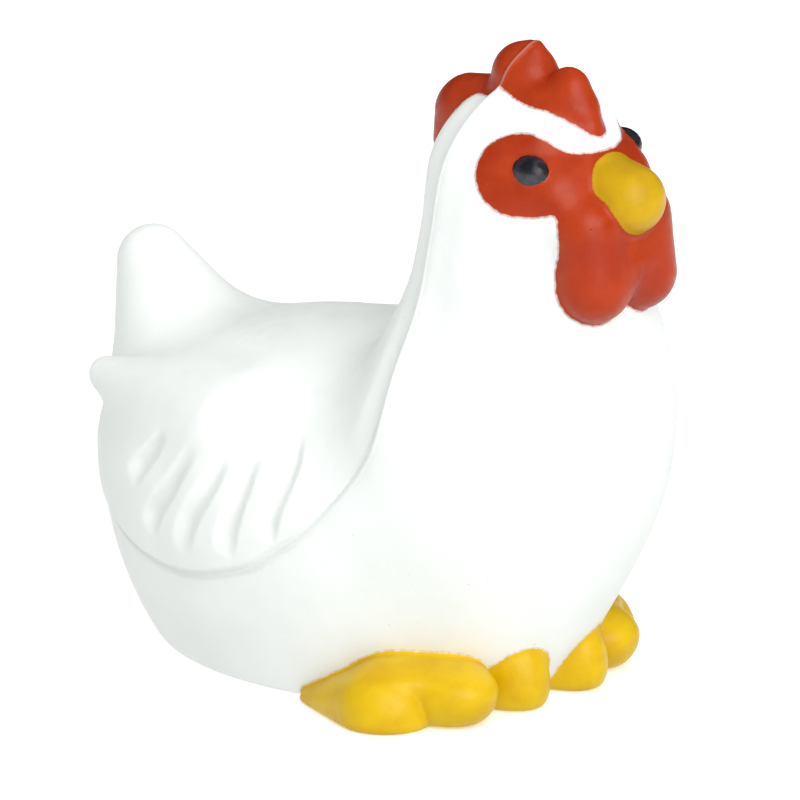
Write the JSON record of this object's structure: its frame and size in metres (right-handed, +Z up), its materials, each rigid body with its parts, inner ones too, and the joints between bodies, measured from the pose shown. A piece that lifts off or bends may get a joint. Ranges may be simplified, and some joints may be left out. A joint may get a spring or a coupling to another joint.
{
  "type": "rubber chicken squeeze toy",
  "caption": "Sitting hen moulded in soft rubber: hollow body with raised wings, red comb, face and wattles, yellow beak and feet, reed squeaker in the flat base.",
  "frame": {"origin": "centre of the overall box, on the table the hen sits on", "axes": "+Z up; the hen faces -Y with its tail at +Y; X = 0 is its mirror plane, its own right side is at -X"},
  "size_m": [0.0582, 0.0902, 0.0854],
  "materials": {
    "white_rubber": "matte",
    "red_rubber": "satin",
    "yellow_rubber": "satin",
    "eye_paint": "satin",
    "squeaker_plastic": "matte",
    "reed_film": "gloss"
  },
  "bodies": {
    "body": {"front_shell": "white_rubber", "back_shell": "white_rubber", "foot_right": "yellow_rubber", "foot_left": "yellow_rubber", "squeaker_cup": "squeaker_plastic", "squeaker_cap": "squeaker_plastic", "reed_bed": "squeaker_plastic", "reed_clip": "squeaker_plastic"},
    "head": {"comb_front": "red_rubber", "comb_rear": "red_rubber", "face_mask": "red_rubber", "wattle_right": "red_rubber", "wattle_left": "red_rubber", "beak": "yellow_rubber", "eye_right": "eye_paint", "eye_left": "eye_paint"},
    "reed_strip": {"reed": "reed_film"}
  },
  "joints": [
    {"name": "squeeze", "type": "slide", "parent": "body", "child": "head", "axis": [0, 0, 1], "range_m": [-0.012, 0], "stiffness_N_per_m": 900, "deforming": ["front_shell", "back_shell"]},
    {"name": "reed_flutter", "type": "hinge", "parent": "body", "child": "reed_strip", "pos_m": [0, 0.0117, 0.00615], "axis": [1, 0, 0], "range_deg": [-3, 1.8], "stiffness_Nm_per_rad": 0.002}
  ]
}
